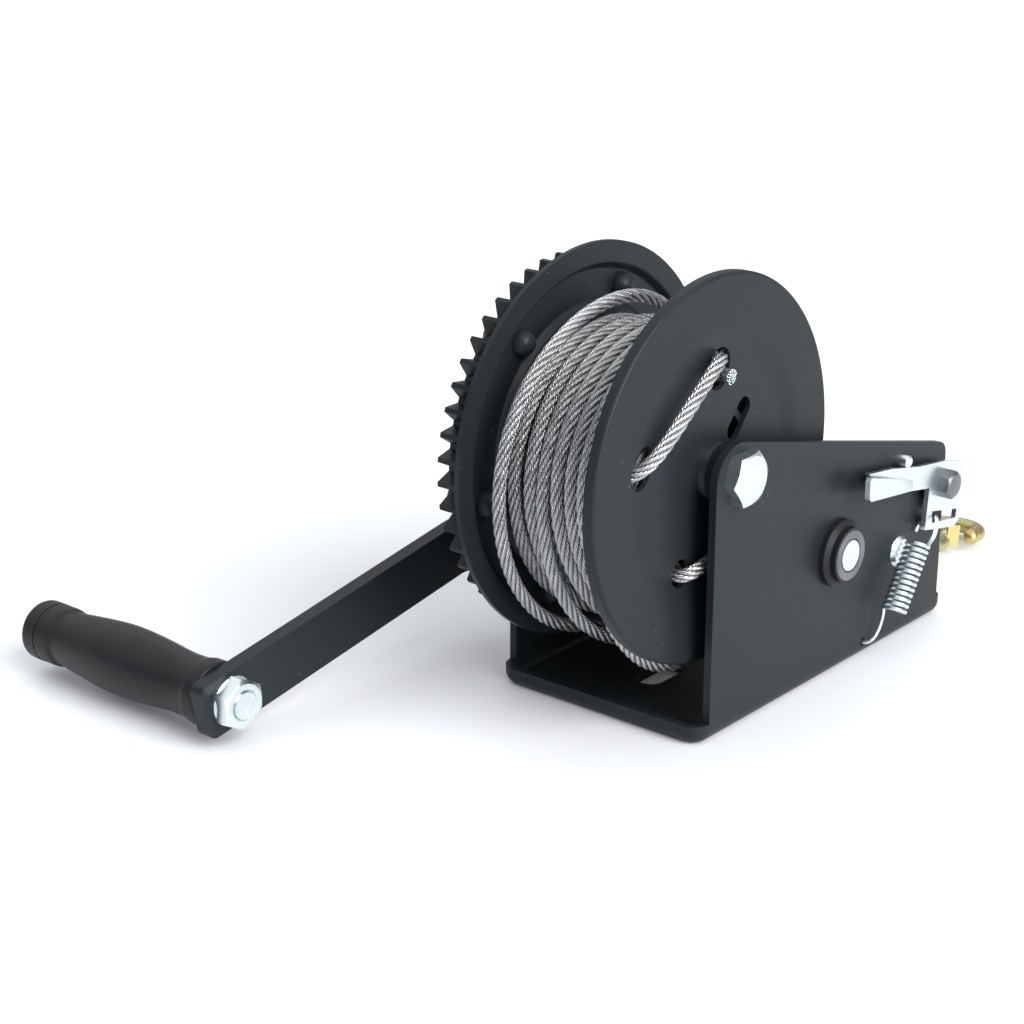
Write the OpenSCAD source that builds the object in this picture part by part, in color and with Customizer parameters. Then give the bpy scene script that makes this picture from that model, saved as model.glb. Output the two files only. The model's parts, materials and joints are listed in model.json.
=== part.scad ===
/* [Frame] */
// Width of the folded frame, outside to outside
base_w = 92; // [88:1:96]
// Length of the base plate
base_l = 172; // [170:1:180]
// Length of the side plates
side_l = 158; // [156:1:160]
// Height of the side plates at the drum end
front_h = 112.5; // [110:0.5:116]
// Height of the side plates at the lever end
rear_h = 73.5; // [72:0.5:76]
// Thickness of the frame sheet
sheet_t = 3; // [3:0.5:3.5]
// Distance between the two base slots
slot_pitch = 92; // [80:1:100]
// Width of a base slot
slot_w = 10.5; // [8:0.5:12]
// Length of a base slot
slot_l = 22; // [16:1:26]

/* [Drum] */
// Radius of the flange on the lever side
flange_r = 70; // [66:0.5:71]
// Radius of the flange that carries the gear
gear_flange_r = 72.5; // [71:0.5:73]
// Radius of the drum core
core_r = 24; // [20:1:28]
// Outer radius of the rope wound on the drum
winding_r = 60; // [40:1:60]
// Diameter of the wire rope
rope_d = 5; // [4:0.5:5]

/* [Gears] */
// Teeth on the drum gear
gear_teeth = 48; // [48:12:48]
// Teeth on the pinion
pinion_teeth = 12; // [12:12:12]
// Module of both gears
gear_module = 2.7; // [2.68:0.01:2.72]

/* [Crank] */
// Distance from the drive shaft to the grip
arm_l = 190.7; // [180:0.1:208]
// Width of the crank arm
arm_w = 21.5; // [20:0.5:24]
// Thickness of the crank arm
arm_t = 6; // [5:0.5:6]
// Angle of the crank arm below the horizontal
arm_fall = 10; // [9:0.1:10.6]
// Length of the grip
grip_l = 97; // [92:0.1:98]

/* [Pawl] */
// Teeth on the ratchet wheel
ratchet_teeth = 12; // [12:1:12]
// Outer radius of the ratchet wheel
ratchet_r = 17; // [17:0.5:17]
// Travel of the pawl lever, from free to engaged
pawl_travel = 8; // [8:0.5:8]

/* [Hidden] */
$fn = 96;

// Places of the axes in the side plates, as [y, z]
axle = [-65, 96.5];
drive = [1.2, 49.6];
pivot = [71.2, 59.4];
stop_pin = [41.2, 75.9];
stop_rivet = [46.8, 36.8];

// Frame
half_w = base_w / 2;
inner_half_w = half_w - sheet_t;
bend_r = 5;
top_slope = atan((front_h - rear_h) / side_l);

// Fasteners: shank radius, then width across flats and height of the head or nut
m12 = [6, 18, 5.4];
m10 = [5, 17, 6];
m6 = [3, 10, 5];
washer_t = 1.2;
fit_gap = 0.05;
running_gap = 0.1;

// Drum, as places along X
near_face_x = 36;
gear_face_x = -19.8;
flange_t = 2;
near_step = 1;
rim_depth = 4.2;
channel_depth = 2.4;
rivet_circle_r = 56.8;
rivet_head_r = 5;
rivet_count = 6;
rivet_phase = 70;
gear_x = gear_face_x - flange_t - channel_depth;
gear_w = 9.6;
hub_r = 10;
inner_winding_r = 48.6;
anchor_x = near_face_x + rope_d / 2 + 0.3;

// Gears
gear_pitch_r = gear_module * gear_teeth / 2;
pinion_pitch_r = gear_module * pinion_teeth / 2;
mesh_angle = atan2(drive[1] - axle[1], drive[0] - axle[0]);
tooth_backlash = 0.35;

// Drive shaft
sleeve_r = 8;
collar_r = 9.6;
collar_x = 35;
spindle_r = 5.9;
bushing_r = 10.8;
bushing_end_x = half_w + 6;
hub_face_x = -54.5;
arm_face_x = -84.3;
joggle = 45;
joggle_r = 8;
joggle_start = 30;
arm_end = arm_l + 12.4;

// Pawl and its lever
pawl_x = inner_half_w - 0.2;
pawl_t = 4.4;
pawl_hub_r = 5;
lever_x = 48.5;
lever_t = 2;
pawl_tip_angle = 55;
stop_pin_r = 2.3;

// Spring: the coil's two ends on its axis, and where its turns start and stop
spring_wire_r = 0.8;
spring_coil_r = 4.2;
spring_turns = 13;
spring_start = 225;
spring_stop = 60;
spring_top = [53.6, 48, 41.4];
spring_foot = [53.6, 32.4, 18];
spring_hole = [23.2, 6.3];

// Free rope, from the drum to the ferrule
ferrule_y = 89;
ferrule_l = 13;
end_gap = 0.2;
rope_route = [
    [29.3, -104, 130], [29.2, -114.5, 118], [29.1, -121.5, 103], [29, -123.5, 86], [28.8, -121, 69],
    [28.7, -114.5, 53.5], [28.8, -105.5, 41.5], [29, -94.5, 32], [29, -81, 26.4], [28.6, -64, 24.6],
    [26.8, -40, 25], [24, -15, 25], [19.5, 15, 23.4], [14.5, 45, 19.4],
    [11.2, 70, 15], [10.1, 84, 13.3], [10, ferrule_y - end_gap, 13.3]
];

// Rope eye and hook: the eye stands upright and the hook lies in it
eye_y = 113.8;
eye_z = 13.3;
eye_inner_r = 7;
thimble_t = 1.2;
eye_rope_r = eye_inner_r + thimble_t + rope_d / 2 + fit_gap;
hook_at = [10, 126.1, 10.6];
hook_fall = 7.5;
hook_r = 3.3;
ring_r = 10;
bowl_r = 11;
bowl_at = 30;
latch_at = [14.5, 0.2];
latch_angle = 38;

// Turns the plane of the side plates into X, so that an outline is [y, z] and height runs along +X
module at_x(x) {
    translate([x, 0, 0]) rotate([90, 0, 90]) children();
}

// A cylinder along X, from x to x + length, at place [y, z]
module rod(place, r, x, length) {
    at_x(x) translate(place) cylinder(r = r, h = length);
}

// A ring along X
module sleeve(place, r, bore_r, x, length) {
    at_x(x) translate(place) difference() {
        cylinder(r = r, h = length);
        translate([0, 0, -1]) cylinder(r = bore_r, h = length + 2);
    }
}

// A hexagon across its flats, chamfered on the side away from the joint
module hex_block(flats, height, turn = 0) {
    corner_r = flats / sqrt(3);
    intersection() {
        rotate(turn) cylinder(r = corner_r, h = height, $fn = 6);
        union() {
            cylinder(r = corner_r + 1, h = height - 1.2);
            translate([0, 0, height - 1.2]) cylinder(r1 = corner_r + 0.6, r2 = flats / 2 - 0.6, h = 1.2);
        }
    }
}

module hex_nut(flats, height, bore_r, turn = 0) {
    difference() {
        hex_block(flats, height, turn);
        translate([0, 0, -1]) cylinder(r = bore_r, h = height + 2);
    }
}

function arc(centre, r, from, to, steps = 8) =
    [for (i = [0:steps]) let (a = from + (to - from) * i / steps) centre + r * [cos(a), sin(a)]];

// A round-ended slot cut through a sheet, from one end centre to the other
module slot_cut(from, to, r, height) {
    span = to - from;
    length = norm(span);
    translate([from[0], from[1], 0]) rotate(atan2(span[1], span[0])) {
        cylinder(r = r, h = height);
        translate([length, 0, 0]) cylinder(r = r, h = height);
        translate([0, -r, 0]) cube([length, 2 * r, height]);
    }
}

// Sweep of a round section along a list of points
function unit(v) = v / norm(v);
function heading(path, i) =
    unit(path[min(i + 1, len(path) - 1)] - path[max(i - 1, 0)]);
function side_of(h) = unit(cross(h, abs(h[2]) < 0.9 ? [0, 0, 1] : [0, 1, 0]));
// Each ring keeps the last one's side direction, so that the tube doesn't twist
function carried_sides(path, i = 1, sides = []) =
    i == 1 && len(sides) == 0 ? carried_sides(path, 1, [side_of(heading(path, 0))])
    : i >= len(path) ? sides
    : let (h = heading(path, i), s = sides[i - 1], kept = unit(s - h * (s * h)))
        carried_sides(path, i + 1, concat(sides, [kept]));

module tube(path, r, sides = 8) {
    rings = len(path);
    s = carried_sides(path);
    points = [for (i = [0:rings - 1]) let (u = s[i], v = cross(heading(path, i), u))
        for (k = [0:sides - 1]) let (a = 360 * k / sides) path[i] + r * (cos(a) * u + sin(a) * v)];
    walls = [for (i = [0:rings - 2]) for (k = [0:sides - 1]) let (n = (k + 1) % sides)
        [i * sides + k, i * sides + n, (i + 1) * sides + n, (i + 1) * sides + k]];
    start_cap = [[for (k = [sides - 1:-1:0]) k]];
    end_cap = [[for (k = [0:sides - 1]) (rings - 1) * sides + k]];
    faces = [for (f = concat(walls, start_cap, end_cap)) [for (k = [len(f) - 1:-1:0]) f[k]]];
    polyhedron(points = points, faces = faces);
}

// Smooth curve through the route's points, with the same number of rings between each pair
function spline_point(p0, p1, p2, p3, t) =
    0.5 * (2 * p1 + (p2 - p0) * t + (2 * p0 - 5 * p1 + 4 * p2 - p3) * t * t
        + (3 * p1 - p0 - 3 * p2 + p3) * t * t * t);
function smooth_route(route, steps) = concat(
    [for (i = [0:len(route) - 2]) for (k = [0:steps - 1])
        spline_point(route[max(i - 1, 0)], route[i], route[i + 1],
            route[min(i + 2, len(route) - 1)], k / steps)],
    [route[len(route) - 1]]);

// Frame

function channel_outline() = concat(
    arc([-half_w + bend_r, bend_r], bend_r, 180, 270),
    arc([half_w - bend_r, bend_r], bend_r, 270, 360),
    [[half_w, front_h + 1], [inner_half_w, front_h + 1]],
    arc([half_w - bend_r, bend_r], bend_r - sheet_t, 360, 270),
    arc([-half_w + bend_r, bend_r], bend_r - sheet_t, 270, 180),
    [[-inner_half_w, front_h + 1], [-half_w, front_h + 1]]);

function side_outline(front_r = 13, rear_r = 6) =
    let (half_l = side_l / 2, normal = 90 - top_slope,
        front_z = front_h - front_r * tan(top_slope) - front_r / cos(top_slope),
        rear_z = rear_h + rear_r * tan(top_slope) - rear_r / cos(top_slope))
    concat([[-half_l, -1]], arc([-half_l + front_r, front_z], front_r, 180, normal),
        arc([half_l - rear_r, rear_z], rear_r, normal, 0), [[half_l, -1]]);

// Past the side plates the base turns up in a low wall, which runs round both corners into them
module base_end(wall_h = 7.5) {
    reach = (base_l - side_l) / 2;
    section = concat([[0, 0]], arc([reach - bend_r, bend_r], bend_r, 270, 360),
        [[reach, wall_h], [reach - sheet_t, wall_h]],
        arc([reach - bend_r, bend_r], bend_r - sheet_t, 360, 270), [[0, sheet_t]]);
    translate([0, side_l / 2, 0]) {
        at_x(reach - half_w) linear_extrude(base_w - 2 * reach) polygon(section);
        for (side = [0, 1]) mirror([side, 0, 0]) translate([half_w - reach, 0, 0])
            rotate_extrude(angle = 90) polygon(section);
    }
}

module frame() color("#1c1e21") difference() {
    union() {
        intersection() {
            rotate([90, 0, 0]) linear_extrude(side_l + 2, center = true) polygon(channel_outline());
            at_x(-half_w - 1) linear_extrude(base_w + 2) polygon(side_outline());
        }
        for (end = [0, 1]) mirror([0, end, 0]) base_end();
    }
    for (end = [-1, 1]) translate([0, end * slot_pitch / 2, -1]) rotate(90) {
        reach = (slot_l - slot_w) / 2;
        slot_cut([-reach, 0], [reach, 0], slot_w / 2, sheet_t + 2);
    }
    for (x = [-half_w - 1, inner_half_w - 1]) {
        rod(axle, m12[0] + 0.2, x, sheet_t + 2);
        rod(drive, bushing_r + fit_gap, x, sheet_t + 2);
    }
    rod(pivot, pawl_hub_r + running_gap, inner_half_w - 1, sheet_t + 2);
    rod(stop_pin, stop_pin_r + fit_gap, inner_half_w - 1, sheet_t + 2);
    rod(stop_rivet, 3 + fit_gap, inner_half_w - 1, sheet_t + 2);
    rod(spring_hole, 1.5, inner_half_w - 1, sheet_t + 2);
}

// Drum axle

module axle_bolt() color("#c9ced2") at_x(-62) translate(axle) {
    cylinder(r = m12[0], h = 62 + half_w);
    translate([0, 0, 62 + half_w]) hex_block(m12[1], m12[2], 6);
}

module axle_washer() color("#b9bec3") sleeve(axle, 12, m12[0] + fit_gap, -half_w - 2.5, 2.5);

module axle_nut() color("#c9ced2") translate([-half_w - 2.5, 0, 0]) mirror([1, 0, 0])
    at_x(0) translate(axle) {
        hex_nut(m12[1], 9.5, m12[0] + fit_gap, 11);
        translate([0, 0, 8]) difference() {
            cylinder(r = 8.2, h = 3.5);
            translate([0, 0, -1]) cylinder(r = m12[0] + fit_gap, h = 6);
        }
    }

module axle_spacers() color("#1c1e21") {
    sleeve(axle, 10.8, m12[0] + fit_gap, 38.4, inner_half_w - 38.4);
    sleeve(axle, 10.8, m12[0] + fit_gap, -inner_half_w, inner_half_w - 35.3);
}

// Drive shaft bushings

module bushing_shape(bore_r) difference() {
    union() {
        cylinder(r = bushing_r, h = bushing_end_x - inner_half_w);
        translate([0, 0, sheet_t]) cylinder(r = 13, h = 2.2);
        translate([0, 0, sheet_t + 2.2]) cylinder(r1 = 13, r2 = bushing_r, h = 1.4);
    }
    translate([0, 0, -1]) cylinder(r = bore_r, h = 20);
}

module bushing_near() color("#141517")
    at_x(inner_half_w) translate(drive) bushing_shape(collar_r + running_gap);

module bushing_far() color("#141517") mirror([1, 0, 0])
    at_x(inner_half_w) translate(drive) bushing_shape(sleeve_r + running_gap);

module lever_stop_pin() color("#c9ced2") at_x(inner_half_w) translate(stop_pin) {
    cylinder(r = stop_pin_r, h = 8.2);
    translate([0, 0, 8.2]) cylinder(r1 = stop_pin_r, r2 = stop_pin_r - 0.7, h = 0.7);
}

module pawl_stop_rivet() color("#b9bec3") at_x(inner_half_w) translate(stop_rivet) {
    cylinder(r = 3, h = sheet_t + 0.5);
    translate([0, 0, sheet_t]) cylinder(r1 = 6.2, r2 = 5, h = 1.5);
}

// Spring: a helix between its two ends, with a straight leg and hook at each

function coil_points(per_turn = 14) =
    let (axis = spring_top - spring_foot, along = unit(axis), u = side_of(along), v = cross(along, u),
        sweep = 360 * spring_turns + spring_stop - spring_start, count = round(sweep * per_turn / 360))
    [for (i = [0:count]) let (a = spring_start + sweep * i / count)
        spring_foot + axis * i / count + spring_coil_r * (cos(a) * u + sin(a) * v)];

function spring_foot_leg() = let (y = spring_hole[0], z = spring_hole[1]) [
    [41, y, z + 5], [41.1, y, z + 2], [42.4, y, z], [46.6, y, z], [48.6, y + 0.7, z + 0.6],
    [49.8, y + 2.4, z + 2.4], [50.3, y + 4.4, z + 5.4], [50.5, y + 6.1, z + 9.6]
];

function spring_top_hook() = [
    [54.6, 55.4, 40], [54.4, 59, 41.8], [53.7, 61.6, 44.8], [52.6, 63.4, 46.8], [51.2, 64.4, 47.3],
    [49.6, 64.6, 47.1], [48.2, 64.2, 46.7], [47.3, 62.8, 46.1], [47.2, 60.6, 45.2], [47.2, 58, 43.8],
    [47.2, 56.6, 42.4]
];

function spring_path() = concat(spring_foot_leg(), coil_points(), spring_top_hook());

module pawl_spring() color("#c9ced2") tube(spring_path(), spring_wire_r, 6);

// Drum

module drum_hub() color("#4a4d50") sleeve(axle, hub_r, m12[0] + running_gap, -35, 73);

module drum_core() color("#232528")
    sleeve(axle, core_r, core_r - 2.5, gear_face_x, near_face_x - near_step - flange_t - gear_face_x);

// A soft step in a pressed sheet, from one [radius, x] to another
function soft_step(from, to, steps = 6) = [for (i = [0:steps]) let (t = i / steps)
    [from[0] + (to[0] - from[0]) * t, from[1] + (to[1] - from[1]) * t * t * (3 - 2 * t)]];

// Section of the flange on the lever side, from its outer face: a shallow dish with a rim turned inwards
function near_flange_section(r, t, bend = 1.4) = concat(
    [[hub_r + fit_gap, -near_step]], soft_step([40, -near_step], [52, 0]),
    arc([r - bend, -bend], bend, 90, 0, 4), [[r, -rim_depth], [r - t, -rim_depth], [r - t, -t]],
    soft_step([52, -t], [40, -near_step - t]), [[hub_r + fit_gap, -near_step - t]]);

module rope_holes() translate([0, 0, -6]) {
    slot_cut([-43.4, 9.6], [-41.6, 13], 5.8, 8);
    slot_cut([1.6, 38.2], [0.6, 34.6], 5.8, 8);
    slot_cut([11, 11.9], [17, 19.1], 3.7, 8);
    translate([-19, -33, 0]) cylinder(r = 5.2, h = 8);
    translate([19, -30, 0]) cylinder(r = 5.2, h = 8);
}

module flange_near() color("#1c1e21") at_x(near_face_x) translate(axle) difference() {
    rotate_extrude() polygon(near_flange_section(flange_r, flange_t));
    rope_holes();
}

// The gear side flange is flat, with a shallow channel pressed away from the rope, which carries the rivets
function gear_flange_section(r, t) = let (inner_r = rivet_circle_r - 5.2, outer_r = rivet_circle_r + 5.2,
        slope = 3, d = channel_depth) concat(
    [[hub_r + fit_gap, 0]], soft_step([inner_r - slope, 0], [inner_r, -d]),
    soft_step([outer_r, -d], [outer_r + slope, 0]), [[r, 0], [r, -t]],
    soft_step([outer_r + slope, -t], [outer_r, -d - t]), soft_step([inner_r, -d - t], [inner_r - slope, -t]),
    [[hub_r + fit_gap, -t]]);

module at_rivets() for (i = [0:rivet_count - 1]) rotate(rivet_phase + 360 * i / rivet_count)
    translate([rivet_circle_r, 0, 0]) children();

module flange_gear_side() color("#1c1e21") at_x(gear_face_x) translate(axle) difference() {
    rotate_extrude() polygon(gear_flange_section(gear_flange_r, flange_t));
    at_rivets() translate([0, 0, -12]) cylinder(r = 4 + fit_gap, h = 14);
}

module gear_rivets() color("#1c1e21") at_x(0) translate(axle) at_rivets() {
    translate([0, 0, gear_x - gear_w - 2.4]) cylinder(r1 = 4, r2 = 5.4, h = 2.4);
    translate([0, 0, gear_x - gear_w]) cylinder(r = 4, h = gear_w + flange_t + 0.5);
    translate([0, 0, gear_x + flange_t])
        rotate_extrude() polygon(concat([[0, 0]],
            [for (a = [0:15:90]) rivet_head_r * [cos(a), 1.1 * sin(a)]]));
}

// Straight-sided teeth round a disc, with one tooth centred on angle 0
function tooth_outline(teeth, m, pitch_r, thin) = [
    for (i = [0:teeth - 1])
        let (a = 360 * i / teeth, half = (PI * m / 4 - thin / 2) / pitch_r * 180 / PI,
            root_r = pitch_r - 1.2 * m, tip_r = pitch_r + m,
            root_half = half + 0.5 * m / pitch_r * 180 / PI, tip_half = half - 0.42 * m / pitch_r * 180 / PI)
        each [
            root_r * [cos(a - root_half), sin(a - root_half)], tip_r * [cos(a - tip_half), sin(a - tip_half)],
            tip_r * [cos(a + tip_half), sin(a + tip_half)], root_r * [cos(a + root_half), sin(a + root_half)]
        ]
];

module gear_wheel() color("#1c1e21") at_x(gear_x - gear_w) translate(axle) difference() {
    rotate(mesh_angle) linear_extrude(gear_w)
        polygon(tooth_outline(gear_teeth, gear_module, gear_pitch_r, tooth_backlash));
    translate([0, 0, -1]) cylinder(r = hub_r + fit_gap, h = gear_w + 2);
    at_rivets() translate([0, 0, -1]) cylinder(r = 4 + fit_gap, h = gear_w + 2);
}

// Winding: the turns of rope as one closed ring, lower at the side where the free rope runs past it
module rope_winding() color("#8f9398") at_x(0) translate(axle) rotate_extrude() polygon([
    [core_r + 0.3, -19], [winding_r - 8, -19], [winding_r - 3, -14], [winding_r, -5], [winding_r, 20],
    [winding_r - 2, 26.2], [inner_winding_r, 26.2], [inner_winding_r, 32.6], [core_r + 0.3, 32.6]
]);

// Rope end, laced through the flange, as places from the axle: out at the lower left hole, straight up the
// face, in at the upper hole and out again with its cut end. Below, a bight shows between two holes.
anchor_strand = [
    [33.6, -44.4, 9.8], [35.8, -44.4, 10], [38, -43, 11.2], [anchor_x, -38, 15.6], [anchor_x, -24, 26],
    [anchor_x, -8, 38], [38, -2.6, 40.9], [35.8, -0.1, 40.3], [33.6, 0.4, 39.9]
];
anchor_end = [[33.6, 2.2, 34.4], [37, 1.4, 34.6], [40.6, 0.2, 34.9]];
anchor_bight = [
    [33.6, -20, -33.6], [35.8, -19.6, -33.4], [38, -17, -32.8], [anchor_x, -9, -31], [anchor_x, 4, -29.4],
    [38.4, 14, -29.4], [36.4, 18, -29.8], [33.6, 19, -30]
];

module rope_anchor() color("#8f9398") for (path = [anchor_strand, anchor_end, anchor_bight])
    tube(smooth_route([for (p = path) p + [0, axle[0], axle[1]]], 3), rope_d / 2, 10);

// Drive shaft

module drive_spindle() color("#d5d9dc") rod(drive, spindle_r, -73, 73 + bushing_end_x);

module drive_sleeve() color("#77797c") difference() {
    union() {
        rod(drive, sleeve_r, hub_face_x, bushing_end_x - hub_face_x);
        rod(drive, collar_r, collar_x, bushing_end_x - collar_x);
    }
    rod(drive, spindle_r + fit_gap, hub_face_x - 1, 120);
    rod(drive, spindle_r + 0.6, bushing_end_x - 1, 3);
}

module pinion_gear() color("#3a3d40") at_x(-34) translate(drive) difference() {
    rotate(mesh_angle + 180 + 180 / pinion_teeth) linear_extrude(8)
        polygon(tooth_outline(pinion_teeth, gear_module, pinion_pitch_r, tooth_backlash));
    translate([0, 0, -1]) cylinder(r = sleeve_r + fit_gap, h = 10);
}

// Saw teeth: each has a steep face, then a slope down to the next root
function ratchet_outline() = [
    for (i = [0:ratchet_teeth - 1])
        let (a = pawl_tip_angle + 360 * i / ratchet_teeth, pitch = 360 / ratchet_teeth)
        each [(ratchet_r - 4) * [cos(a - 1), sin(a - 1)], ratchet_r * [cos(a + 2), sin(a + 2)],
            ratchet_r * [cos(a + 7), sin(a + 7)], (ratchet_r - 4) * [cos(a + pitch - 9), sin(a + pitch - 9)]]
];

module ratchet_wheel() color("#4a4d50") at_x(37.6) translate(drive) difference() {
    linear_extrude(4.4) polygon(ratchet_outline());
    translate([0, 0, -1]) cylinder(r = collar_r + fit_gap, h = 8);
}

module retaining_rings() color("#2c2e30") {
    sleeve(drive, 10.5, sleeve_r + fit_gap, -42.4, 1.5);
    sleeve(drive, 10.8, collar_r + fit_gap, 35.9, 1.5);
}

// Crank: measured along the arm, across it, and along X

module at_arm() {
    at_x(0) translate(drive) rotate(180 + arm_fall) children();
}

function joggle_line() =
    let (drop = hub_face_x - arm_face_x, straight = drop - 2 * joggle_r * (1 - cos(joggle)),
        run = straight / tan(joggle) + 2 * joggle_r * sin(joggle), x0 = hub_face_x - arm_t / 2)
    concat([[-20, x0, 0]],
        [for (i = [0:5]) let (a = joggle * i / 5)
            [joggle_start + joggle_r * sin(a), x0 - joggle_r * (1 - cos(a)), a]],
        [for (i = [5:-1:0]) let (a = joggle * i / 5)
            [joggle_start + run - joggle_r * sin(a), x0 - drop + joggle_r * (1 - cos(a)), a]],
        [[arm_l + 20, x0 - drop, 0]]);

module crank_arm() color("#1c1e21") at_arm() difference() {
    line = joggle_line();
    left = [for (p = line) [p[0], p[1]] + arm_t / 2 * [sin(p[2]), cos(p[2])]];
    right = [for (i = [len(line) - 1:-1:0]) let (p = line[i])
        [p[0], p[1]] - arm_t / 2 * [sin(p[2]), cos(p[2])]];
    intersection() {
        rotate([90, 0, 0]) linear_extrude(arm_w + 2, center = true) polygon(concat(left, right));
        translate([0, 0, -120]) linear_extrude(90)
            polygon(concat(arc([arm_end - 3, 3 - arm_w / 2], 3, -90, 0),
                arc([arm_end - 4, arm_w / 2 - 4], 4, 0, 90), arc([0, 0], arm_w / 2, 90, 270, 12)));
    }
    translate([0, 0, -100]) cylinder(r = spindle_r + fit_gap, h = 80);
    translate([arm_l, 0, -100]) cylinder(r = m10[0] + fit_gap, h = 40);
}

module crank_washer() color("#b9bec3")
    sleeve(drive, 11, spindle_r + fit_gap, hub_face_x - arm_t - washer_t, washer_t);

module crank_nut() color("#c9ced2") translate([hub_face_x - arm_t - washer_t, 0, 0]) mirror([1, 0, 0]) at_x(0)
    translate(drive) hex_nut(m12[1], 9.5, spindle_r + fit_gap, 5);

// The bolt's head sits inside the grip, under the end cap
module grip_bolt() color("#c9ced2") at_arm() translate([arm_l, 0, bolt_head_x]) {
    cylinder(r = m10[0], h = arm_face_x + washer_t + m10[2] + 0.6 - bolt_head_x);
    translate([0, 0, -5]) hex_block(12.5, 5.5);
}

module grip_washer() color("#b9bec3") at_arm() translate([arm_l, 0, arm_face_x]) difference() {
    cylinder(r = 9.2, h = washer_t);
    translate([0, 0, -1]) cylinder(r = m10[0] + fit_gap, h = 4);
}

module grip_nut() color("#c9ced2") at_arm() translate([arm_l, 0, arm_face_x + washer_t]) difference() {
    hex_nut(m10[1], m10[2], m10[0] + fit_gap, 22);
    translate([0, 0, m10[2] - 0.8]) cylinder(r1 = m10[0], r2 = m10[0] + 1.2, h = 1.2);
}

// Grip: [distance from the arm, radius], with a palm swell and a collar at each end
grip_section = [
    [0, 11.6], [0.8, 12.4], [6, 12.4], [7.5, 11.8], [12, 11.4], [18, 11.3], [28, 12.2], [38, 12.9],
    [48, 13.3], [57, 12.8], [68, 11.7], [78, 10.6], [80, 10.5], [81, 11.3], [grip_l - 8, 11.5]
];
grip_start = arm_face_x - arm_t - 0.4;
bolt_pocket = 15.5;
bolt_head_x = grip_start - grip_l + bolt_pocket - 0.9;

module grip() color("#141517") at_arm() translate([arm_l, 0, grip_start]) mirror([0, 0, 1]) difference() {
    rotate_extrude() polygon(concat([[0, 0]], [for (p = grip_section) [p[1], p[0]]], [[0, grip_l - 8]]));
    translate([0, 0, -1]) cylinder(r = m10[0] + running_gap, h = grip_l);
    translate([0, 0, grip_l - bolt_pocket]) cylinder(r = 9, h = bolt_pocket);
}

module grip_end_cap() color("#141517") at_arm() translate([arm_l, 0, grip_start]) mirror([0, 0, 1])
    translate([0, 0, grip_l - 8]) rotate_extrude() polygon(concat(
        [[0, 2.6], [7.6, 2.6], [7.6, -2], [8.95, -2], [8.95, 0], [11.5, 0]],
        arc([8.5, 5], 3, 0, 90, 6), [[0, 8]]));

// Pawl lever: a bent sheet outside the plate, and the pawl inside it, joined by a hub through the plate

lever_outline = [
    [59.9, 60.2], [46, 62.7], [41.6, 66.6], [15.4, 75.2], [13.8, 77.8], [29.7, 75.8], [50.9, 71.3],
    [71.1, 68.6], [86.4, 64.7], [85.6, 43.3], [84.7, 40.3], [81.3, 38.6], [66.1, 41.5], [58.1, 43.3]
];
lever_window = [[63, 49.8], [82.6, 45.6], [82.2, 42], [63.5, 44.8]];
handle_outline = [
    [47, 62.5], [6.2, 70.1], [4.6, 71.3], [4.2, 78.2], [5.4, 79.5], [41.6, 68.5], [47, 66.4]
];
handle_bend = [46.5, 8];

module pawl_lever() color("#d5dde0") difference() {
    union() {
        at_x(lever_x) linear_extrude(lever_t) difference() {
            polygon(lever_outline);
            polygon(lever_window);
        }
        translate([lever_x, handle_bend[0], 0]) rotate([0, 0, handle_bend[1]])
            translate([-lever_x, -handle_bend[0], 0])
            at_x(lever_x) linear_extrude(lever_t) polygon(handle_outline);
    }
    rod(pivot, m6[0] + fit_gap, lever_x - 1, lever_t + 2);
}

// The pawl is drawn engaged and turned back to its free place
module pawl() color("#4a4d50") at_x(pawl_x - pawl_t) difference() {
    tip = drive - pivot + 13.9 * [cos(pawl_tip_angle - 10), sin(pawl_tip_angle - 10)];
    translate(pivot) rotate(-pawl_travel) {
        cylinder(r = 9, h = pawl_t);
        linear_extrude(pawl_t) polygon(concat(
            [tip, tip + [0.3, 4], tip + [1.2, 10], tip + [8, 14], [-20, 14], [-2, 8.8]],
            [[-3, -8.4], [-18, 2.5], tip + [14, 5.5], tip + [3.4, 0.8]]));
    }
    translate([pivot[0], pivot[1], -1]) cylinder(r = m6[0] + fit_gap, h = pawl_t + 2);
}

module pawl_hub() color("#77797c") difference() {
    union() {
        rod(pivot, pawl_hub_r, pawl_x, lever_x - pawl_x);
        rod(pivot, pawl_hub_r + 3, half_w + 0.3, lever_x - half_w - 0.3);
    }
    rod(pivot, m6[0] + fit_gap, pawl_x - 1, 10);
}

module pawl_bolt() color("#8a8f94") at_x(29) translate(pivot) {
    cylinder(r = m6[0], h = lever_x + lever_t - 29);
    translate([0, 0, lever_x + lever_t - 29]) hex_block(m6[1], m6[2], 20);
}

module pawl_washer() color("#b9bec3")
    sleeve(pivot, 6.5, m6[0] + fit_gap, pawl_x - pawl_t - washer_t, washer_t);

module pawl_nut() color("#c9ced2") translate([pawl_x - pawl_t - washer_t, 0, 0]) mirror([1, 0, 0]) at_x(0)
    translate(pivot) hex_nut(m6[1], 5, m6[0] + fit_gap, 9);

// Free rope, eye and hook

module free_rope() color("#8f9398") tube(smooth_route(rope_route, 2), rope_d / 2, 10);

// Upright teardrop round the eye's centre: an arc with two straight legs that meet at the ferrule
function teardrop(r, tail, tail_half) =
    let (open = acos(r / norm([tail, tail_half])))
    [for (i = [-12:12]) let (a = (180 - open) * i / 12) [0, eye_y + r * cos(a), eye_z + r * sin(a)]];

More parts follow.
